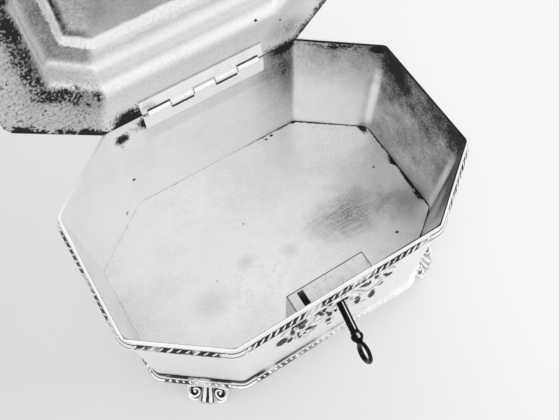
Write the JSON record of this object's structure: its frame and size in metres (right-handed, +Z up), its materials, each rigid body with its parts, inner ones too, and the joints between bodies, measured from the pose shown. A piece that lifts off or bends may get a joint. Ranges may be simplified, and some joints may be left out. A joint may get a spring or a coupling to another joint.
{
  "type": "candy box",
  "caption": "Eight-sided tapering silver box with a stepped hinged lid, cast scroll feet, a keyhole cartouche and a box lock with its key.",
  "frame": {"origin": "on the table plane under the feet, below the middle of the tub", "axes": "+X along the hinge to the right seen from the front, -Y towards the lock and key at the front, +Z up"},
  "size_m": [0.1662, 0.1649, 0.1916],
  "materials": {
    "silver_sheet": "antique silver, satin with tarnish",
    "cast_silver": "cast antique silver, dark in the hollows",
    "silver_wire": "polished antique silver",
    "lock_brass": "worn silvered brass",
    "lock_steel": "dull steel",
    "blackened_iron": "blackened iron, worn bright along the shank"
  },
  "bodies": {
    "box": {"body_wall": "silver_sheet", "floor_plate": "silver_sheet", "rim_wire": "silver_wire", "rim_border": "cast_silver", "base_ring": "silver_wire", "base_border": "cast_silver", "foot_front_right": "cast_silver", "foot_back_right": "cast_silver", "foot_back_left": "cast_silver", "foot_front_left": "cast_silver", "escutcheon": "cast_silver", "lock_plate": "lock_brass", "lock_cap": "lock_brass", "lock_posts": "lock_brass", "lock_rivets": "silver_sheet", "bolt_guide_stud": "lock_brass", "bolt_spring": "lock_steel", "ward": "lock_brass", "body_hinge_leaf": "silver_sheet", "hinge_pin": "lock_steel"},
    "lid": {"lid_shell": "silver_sheet", "lid_rim_wire": "silver_wire", "lid_border": "cast_silver", "lid_hinge_leaf": "silver_sheet", "lid_staple": "lock_brass"},
    "drill_pin": {"drill_pin": "lock_steel"},
    "key": {"key": "blackened_iron"},
    "bolt": {"bolt": "lock_brass"}
  },
  "joints": [
    {"name": "lid_hinge", "type": "hinge", "parent": "box", "child": "lid", "pos_m": [0, 0.054, 0.084], "axis": [1, 0, 0], "range_deg": [0, 100]},
    {"name": "key_turn", "type": "hinge", "parent": "box", "child": "drill_pin", "pos_m": [0.00045, -0.054, 0.0647], "axis": [-0.1115, -0.9785, -0.1736], "range_deg": [0, 360]},
    {"name": "key_pull", "type": "slide", "parent": "drill_pin", "child": "key", "axis": [-0.1115, -0.9785, -0.1736], "range_m": [0, 0.034]},
    {"name": "bolt_slide", "type": "slide", "parent": "box", "child": "bolt", "axis": [-1, 0, 0], "range_m": [0, 0.005]}
  ],
  "couplings": [
    {"joint": "key_turn", "follows": "bolt_slide", "rad_per_m": 1256.6}
  ]
}
